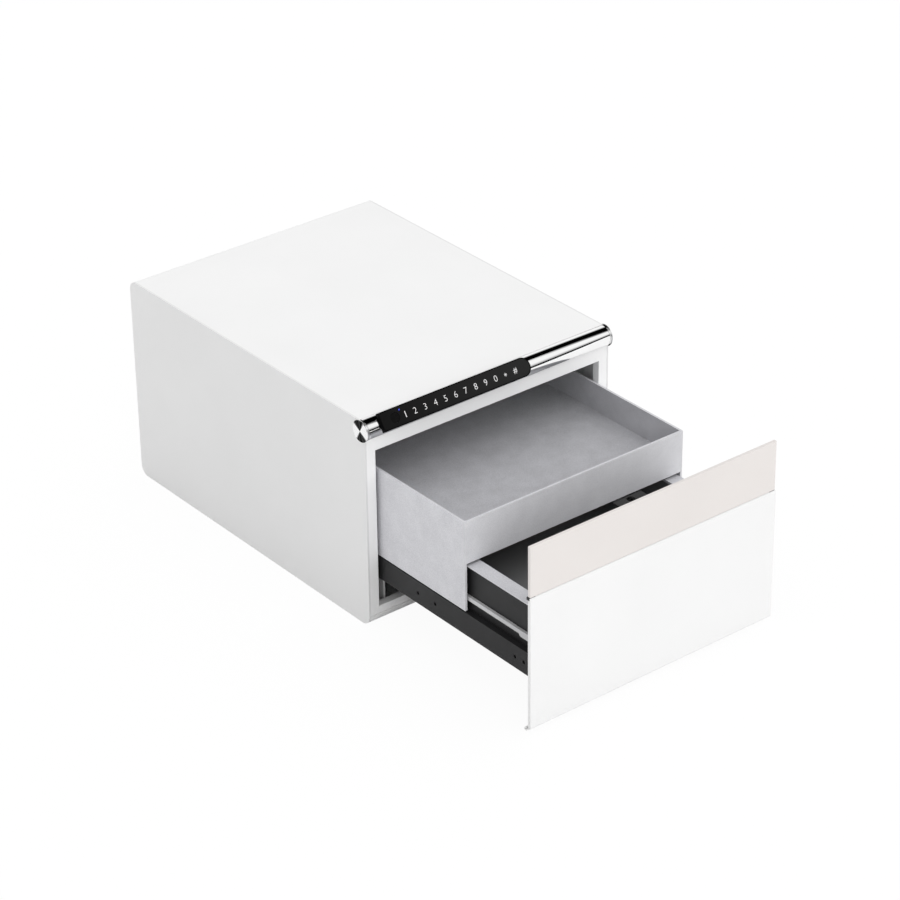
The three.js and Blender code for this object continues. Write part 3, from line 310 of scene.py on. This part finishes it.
# The glass's colour goes from darker at the left end to lighter at the right end: a painted reflection
glass.tone(painted_reflection_along_keypad(glass), grey(0.0015), grey(0.017))
housing = moulded("keypad_frame", (0.002, 0.002, 0.0022), 0.42)
housing.bsdf.inputs["Specular IOR Level"].default_value = 0.02
black = moulded("black_plastic", (0.013, 0.013, 0.014), 0.5)
nylon = moulded("light_nylon", (0.56, 0.56, 0.57), 0.5)
sensor = Shader("sensor_window", Roughness=0.16, Specular_IOR_Level=0.07)
sensor.tone(sensor.spread(sensor.noise(300.0, 2.0), 0, 1), grey(0.0015), grey(0.003))
board = moulded("board_lacquer", (0.02, 0.13, 0.06), 0.4)
sleeve = moulded("cell_sleeve", (0.25, 0.26, 0.28), 0.35)
lens = Shader("blue_light", Roughness=0.2, Emission_Strength=0.3)
lens.bsdf.inputs["Emission Color"].default_value = (0.06, 0.08, 0.75, 1)
lens.tone(lens.spread(lens.noise(400.0, 2.0), 0, 1), (0.03, 0.05, 0.5), (0.05, 0.08, 0.65))
ink = Shader("keypad_ink", Roughness=0.6)
ink.tone(ink.spread(ink.noise(900.0, 2.0), 0, 1), grey(0.80), grey(0.92))

LOOKS = {
    "body_wrap": white_coat,
    "side_panel_left": side_coat_painted_shade,
    "side_panel_right": side_coat_painted_shade,
    "front_frame": frame_coat_painted_light,
    "tube_saddle": white_coat,
    "front_panel": panel_coat_painted_shade,
    "fascia_strip": strip_coat,
    "tray": tray_coat,
    "box_rim_left": tray_coat,
    "box_rim_right": tray_coat,
    "panel_backing": dark_coat,
    "lower_box": dark_coat,
    "box_front_plate": dark_coat,
    "box_rear_plate": dark_coat,
    "drawer_rail_left": dark_coat,
    "drawer_rail_right": dark_coat,
    "slide_inner_member_left": slide_coat,
    "slide_inner_member_right": slide_coat,
    "slide_outer_member_left": slide_coat,
    "slide_outer_member_right": slide_coat,
    "slide_bracket_left": bracket_coat,
    "slide_bracket_right": bracket_coat,
    "ball_cage_left": zinc,
    "ball_cage_right": zinc,
    "striker_plate": dark_coat,
    "lock_motor": zinc,
    "bolt_guide": steel,
    "lock_bolt": steel,
    "drive_pinion": steel,
    "guide_strip_left": nylon,
    "guide_strip_right": nylon,
    "tray_runner_left": nylon,
    "tray_runner_right": nylon,
    "keypad_housing": housing,
    "keypad_glass": glass,
    "fingerprint_sensor": sensor,
    "status_lens": lens,
    "keypad_circuit_board": black,
    "control_board": board,
    "keypad_cable": black,
    "battery_case": black,
    "battery_cover": black,
    "lock_housing": black,
    "tube_end_cap_left": cap_face_painted_reflection,
    "tube_end_cap_right": cap_face_painted_reflection,
    "chrome_tube": chrome,
}

# Rounding of each node's edges in millimetres; the rest get none
ROUNDED = {
    "body_wrap": 0.5,
    "side_panel_left": 0.5,
    "side_panel_right": 0.5,
    "front_frame": 0.5,
    "front_panel": 0.35,
    "fascia_strip": 0.35,
    "tray": 0.3,
    "box_rim_left": 0.3,
    "box_rim_right": 0.3,
    "guide_strip_left": 0.5,
    "guide_strip_right": 0.5,
    "lower_box": 0.25,
    "panel_backing": 0.3,
    "keypad_glass": 0.15,
    "keypad_housing": 0.25,
}


def dress(name, piece):
    """The material of a CAD node, with its edges rounded by modifiers."""
    look = LOOKS.get(name)
    if look is None:
        look = sleeve if name.startswith("battery_cell") else zinc
    piece.data.materials.clear()
    piece.data.materials.append(look.material)
    smooth = [True] * len(piece.data.polygons)
    piece.data.polygons.foreach_set("use_smooth", smooth)
    piece.data.set_sharp_from_angle(angle=math.radians(32))
    width = ROUNDED.get(name)
    if width is None:
        return
    merge = piece.modifiers.new("merge", "DECIMATE")
    merge.decimate_type = "DISSOLVE"
    merge.angle_limit = math.radians(1.0)
    bevel = piece.modifiers.new("bevel", "BEVEL")
    bevel.width = width * MM
    bevel.segments = 3
    bevel.limit_method = "ANGLE"
    bevel.angle_limit = math.radians(40)
    bevel.harden_normals = True


def paint_inside_light_and_shade(piece, look, low, high):
    """A second material on the faces that look into the room from low to high, in metres: painted
    shade inside the tray, painted light inside the drawer box.
    """
    piece.data.materials.append(look.material)
    middle = (Vector(low) + Vector(high)) / 2
    turn = piece.matrix_world.to_3x3()
    for face in piece.data.polygons:
        centre = piece.matrix_world @ face.center
        inside = all(a <= c <= b for a, c, b in zip(low, centre, high))
        if inside and (turn @ face.normal).dot(middle - centre) > 0:
            face.material_index = 1


def paint_light_on_front(piece, look, front):
    """One more material on the faces that look forward and lie before y = front, in metres: a lighter
    tone there as painted light.
    """
    piece.data.materials.append(look.material)
    number = len(piece.data.materials) - 1
    turn = piece.matrix_world.to_3x3()
    for face in piece.data.polygons:
        centre = piece.matrix_world @ face.center
        if centre.y < front and (turn @ face.normal).y < -0.9:
            face.material_index = number


for node_name, node_object in nodes.items():
    dress(node_name, node_object)

paint_inside_light_and_shade(nodes["tray"], tray_inside_painted_shade, *TRAY_SHADE_ROOM)
paint_light_on_front(nodes["tray"], tray_front_painted_light, PAINTED_LIGHT_FRONT_Y)
for box_node in ("lower_box", "box_front_plate", "box_rear_plate"):
    paint_inside_light_and_shade(nodes[box_node], box_inside_painted_light, *BOX_LIGHT_ROOM)


# New pieces

def new_piece(name, mesh, look, body):
    piece = bpy.data.objects.new(name, mesh)
    bpy.context.scene.collection.objects.link(piece)
    mesh.materials.clear()
    mesh.materials.append(look.material)
    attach(piece, body)
    return piece


def keypad_matrix():
    """Takes a point on the keypad, x along the tube and z out of its face, to the row frame."""
    turn = Matrix.Rotation(math.radians(90 - KEYPAD_TILT), 4, "X")
    return Matrix.Translation((0, TUBE_Y * MM, TUBE_Z * MM)) @ turn


def glyph_mesh(character, height, bold):
    """One character as a flat mesh, centred, height in metres."""
    curve = bpy.data.curves.new("glyph", "FONT")
    curve.body = character
    curve.resolution_u = 6
    curve.offset = bold
    holder = bpy.data.objects.new("glyph", curve)
    bpy.context.scene.collection.objects.link(holder)
    bpy.context.view_layer.update()
    graph = bpy.context.evaluated_depsgraph_get()
    mesh = bpy.data.meshes.new_from_object(holder.evaluated_get(graph))
    bpy.data.objects.remove(holder)
    bpy.data.curves.remove(curve)
    xs = [v.co.x for v in mesh.vertices]
    ys = [v.co.y for v in mesh.vertices]
    centre = Vector(((min(xs) + max(xs)) / 2, (min(ys) + max(ys)) / 2, 0))
    factor = height / (max(ys) - min(ys))
    mesh.transform(Matrix.Scale(factor, 4) @ Matrix.Translation(-centre))
    return mesh


MARKS = "1234567890*#"
FIRST_MARK = 47.3
MARK_PITCH = 12.98
MARK_HEIGHT = {"*": 3.6, "#": 5.8}
MARK_BOLD = {"*": 0.012, "#": 0.002, "1": -0.002}
MARK_SHIFT = {"1": 0.9}
MARK_DROP = 0.6


def keypad_marks():
    whole = bmesh.new()
    for i, character in enumerate(MARKS):
        height = MARK_HEIGHT.get(character, 6.4) * MM
        mesh = glyph_mesh(character, height, MARK_BOLD.get(character, -0.012))
        x = FIRST_MARK + i * MARK_PITCH + MARK_SHIFT.get(character, 0) - HALF_WIDTH
        place = Vector((x, -MARK_DROP, KEYPAD_FACE + 0.03)) * MM
        mesh.transform(Matrix.Translation(place))
        whole.from_mesh(mesh)
        bpy.data.meshes.remove(mesh)
    merged = bpy.data.meshes.new("keypad_marks")
    whole.to_mesh(merged)
    whole.free()
    merged.transform(keypad_matrix())
    return new_piece("keypad_marks", merged, ink, "cabinet")


def tube_mesh(radius, wall, half, facets):
    """A round tube along X with its axis through the origin."""
    whole = bmesh.new()
    rings = []
    for x, r in [(-half, radius - wall), (-half, radius), (half, radius), (half, radius - wall)]:
        ring = []
        for i in range(facets):
            a = 2 * math.pi * i / facets
            ring.append(whole.verts.new((x, r * math.cos(a), r * math.sin(a))))
        rings.append(ring)
    for k in range(4):
        near, far = rings[k], rings[(k + 1) % 4]
        for i in range(facets):
            j = (i + 1) % facets
            whole.faces.new((near[i], near[j], far[j], far[i]))
    bmesh.ops.recalc_face_normals(whole, faces=whole.faces)
    mesh = bpy.data.meshes.new("tube")
    whole.to_mesh(mesh)
    whole.free()
    return mesh


def keypad_outline(grow, facets=20):
    """A half circle at the right end, a slight curve with round corners at the left end."""
    w = KEYPAD_HALF + grow
    r = KEYPAD_CORNER + grow
    start_radius = KEYPAD_START_RADIUS + grow
    right_x = KEYPAD_END - HALF_WIDTH - KEYPAD_HALF
    centre_x = KEYPAD_START + KEYPAD_START_RADIUS - HALF_WIDTH
    corner_x = centre_x - math.sqrt((start_radius - r) ** 2 - (w - r) ** 2)
    turn = math.pi - math.asin((w - r) / (start_radius - r))
    arcs = [
        (right_x, 0, w, -math.pi / 2, math.pi / 2),
        (corner_x, w - r, r, math.pi / 2, turn),
        (centre_x, 0, start_radius, turn, 2 * math.pi - turn),
        (corner_x, r - w, r, 2 * math.pi - turn, 1.5 * math.pi),
    ]
    points = []
    for number, (x, y, radius, start, end) in enumerate(arcs):
        # The last two arcs start where the one before ends
        for i in range(0 if number < 2 else 1, facets + 1):
            a = start + (end - start) * i / facets
            points.append(((x + radius * math.cos(a)) * MM, (y + radius * math.sin(a)) * MM))
    return points


def prism(points, z0, z1, name):
    whole = bmesh.new()
    low = [whole.verts.new((x, y, z0)) for x, y in points]
    high = [whole.verts.new((x, y, z1)) for x, y in points]
    whole.faces.new(list(reversed(low)))
    whole.faces.new(high)
    for i in range(len(points)):
        j = (i + 1) % len(points)
        whole.faces.new((low[i], low[j], high[j], high[i]))
    mesh = bpy.data.meshes.new(name)
    whole.to_mesh(mesh)
    whole.free()
    return mesh


def apply_all(piece):
    """Bakes the piece's modifiers into its mesh."""
    bpy.context.view_layer.update()
    graph = bpy.context.evaluated_depsgraph_get()
    baked = bpy.data.meshes.new_from_object(piece.evaluated_get(graph))
    old = piece.data
    piece.modifiers.clear()
    piece.data = baked
    bpy.data.meshes.remove(old)


def smooth_tube():
    """The chrome tube with a fine round section and the seat of the keypad cut in."""
    mesh = tube_mesh(TUBE_RADIUS * MM, 1.5 * MM, TUBE_HALF * MM, 256)
    place = keypad_matrix()
    cutter_mesh = prism(keypad_outline(KEYPAD_GAP), (KEYPAD_SEAT - SEAT_DEPTH) * MM, 30 * MM, "seat")
    cutter_mesh.transform(place)
    mesh.transform(Matrix.Translation((0, TUBE_Y * MM, TUBE_Z * MM)))
    cutter = bpy.data.objects.new("seat", cutter_mesh)
    bpy.context.scene.collection.objects.link(cutter)
    piece = new_piece("smooth_chrome_tube", mesh, chrome, "cabinet")
    cut = piece.modifiers.new("seat", "BOOLEAN")
    cut.operation = "DIFFERENCE"
    cut.object = cutter
    cut.solver = "EXACT"
    edge = piece.modifiers.new("edge", "BEVEL")
    edge.width = SEAT_EDGE * MM
    edge.segments = 2
    edge.limit_method = "ANGLE"
    edge.angle_limit = math.radians(25)
    apply_all(piece)
    bpy.data.objects.remove(cutter)
    bpy.data.meshes.remove(cutter_mesh)
    piece.data.polygons.foreach_set("use_smooth", [True] * len(piece.data.polygons))
    piece.data.set_sharp_from_angle(angle=math.radians(30))
    piece.data.materials.clear()
    piece.data.materials.append(chrome.material)
    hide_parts("chrome_tube")
    return piece


keypad_marks()
smooth_tube()


# Studio

FLOOR_TONE = 0.95
FLOOR_WHITE_SHARE = 0.95


def floor_material():
    """Pale floor. The camera sees it white with the object's shadow; the rest sees it pale."""
    material = bpy.data.materials.new("studio_floor")
    material.use_nodes = True
    tree = Nodes(material.node_tree)
    tree.tree.nodes.clear()
    pale = tree.plain("ShaderNodeBsdfDiffuse", FLOOR_TONE)
    lit = tree.plain("ShaderNodeBsdfDiffuse", 1)
    white = tree.plain("ShaderNodeEmission", 1)
    path = tree.node("ShaderNodeLightPath")
    seen = tree.mix(FLOOR_WHITE_SHARE, lit, white)
    surface = tree.mix(path.outputs["Is Camera Ray"], pale, seen)
    out = tree.node("ShaderNodeOutputMaterial")
    tree.link(surface, out.inputs["Surface"])
    return material


def make_floor():
    mesh = bpy.data.meshes.new("floor")
    size = 12.0
    corners = [(-size, -size, 0), (size, -size, 0), (size, size, 0), (-size, size, 0)]
    mesh.from_pydata(corners, [], [(0, 1, 2, 3)])
    floor = bpy.data.objects.new("floor", mesh)
    floor.location.z = -0.0002
    bpy.context.scene.collection.objects.link(floor)
    mesh.materials.append(floor_material())


# Brightness that polished metal meets, by the angle from the rear horizon over the top
METAL_SKY = [
    (0.00, 1.0), (0.18, 1.0), (0.22, 0.80), (0.25, 0.45), (0.275, 0.15), (0.30, 0.0),
    (0.56, 0.0), (0.585, 0.03), (0.61, 0.15), (0.64, 0.45), (0.67, 0.85), (0.70, 1.0),
    (0.82, 1.0), (0.87, 0.75), (0.905, 0.35), (0.93, 0.08), (0.95, 0.0), (1.0, 0.0),
]

# Soft light: its level, and how much stronger it is on each axis
LIGHT_LEVEL = 0.92
LIGHT_SLOPE = (0.24, -0.31, 0.215)


def soft_light(tree, direction):
    """Light whose strength changes evenly from one side of the studio to the other."""
    slope = tree.node("ShaderNodeVectorMath", operation="DOT_PRODUCT")
    slope.inputs[1].default_value = LIGHT_SLOPE
    tree.link(direction, slope.inputs[0])
    light = tree.node("ShaderNodeBackground")
    light.inputs["Color"].default_value = (1, 1, 1, 1)
    tree.link(tree.math("ADD", slope.outputs["Value"], LIGHT_LEVEL), light.inputs["Strength"])
    return light.outputs[0]


def metal_sky(tree, direction):
    """The sky of METAL_SKY, the same all along X."""
    parts = tree.node("ShaderNodeSeparateXYZ")
    tree.link(direction, parts.inputs[0])
    angle = tree.math("ARCTAN2", parts.outputs["Z"], parts.outputs["Y"])
    ramp = tree.node("ShaderNodeValToRGB")
    stops = ramp.color_ramp.elements
    while len(stops) > 1:
        stops.remove(stops[-1])
    for i, (place, bright) in enumerate(METAL_SKY):
        stop = stops[0] if i == 0 else stops.new(place)
        stop.position = place
        stop.color = (bright, bright, bright, 1)
    tree.link(tree.math("DIVIDE", angle, math.pi), ramp.inputs["Fac"])
    sky = tree.node("ShaderNodeBackground")
    tree.link(ramp.outputs["Color"], sky.inputs["Color"])
    return sky.outputs[0]


def make_world():
    """White for the camera, soft light from the front right, and dark bands for the metal."""
    world = bpy.data.worlds.new("studio")
    bpy.context.scene.world = world
    world.use_nodes = True
    tree = Nodes(world.node_tree)
    tree.tree.nodes.clear()
    path = tree.node("ShaderNodeLightPath")
    direction = tree.node("ShaderNodeTexCoord").outputs["Generated"]
    light = soft_light(tree, direction)
    lit = tree.mix(path.outputs["Is Glossy Ray"], light, metal_sky(tree, direction))
    seen = tree.mix(path.outputs["Is Camera Ray"], lit, tree.plain("ShaderNodeBackground", 1))
    out = tree.node("ShaderNodeOutputWorld")
    tree.link(seen, out.inputs["Surface"])


def make_camera():
    azimuth = math.radians(38.4009)
    elevation = math.radians(29.5053)
    roll = math.radians(-0.7665)
    forward = Vector((
        math.sin(azimuth) * math.cos(elevation),
        math.cos(azimuth) * math.cos(elevation),
        -math.sin(elevation),
    ))
    right = Vector((math.cos(azimuth), -math.sin(azimuth), 0))
    up = right.cross(forward)
    right_rolled = math.cos(roll) * right + math.sin(roll) * up
    up_rolled = -math.sin(roll) * right + math.cos(roll) * up
    data = bpy.data.cameras.new("camera")
    data.sensor_width = 36
    data.lens = 130.361
    data.clip_start = 0.05
    data.clip_end = 100
    camera = bpy.data.objects.new("camera", data)
    turn = Matrix((right_rolled, up_rolled, -forward)).transposed().to_4x4()
    camera.matrix_world = Matrix.Translation((-1.84037, -2.46289, 1.79803)) @ turn
    bpy.context.scene.collection.objects.link(camera)
    bpy.context.scene.camera = camera


make_floor()
make_world()
make_camera()
bpy.context.scene.view_settings.view_transform = "Standard"
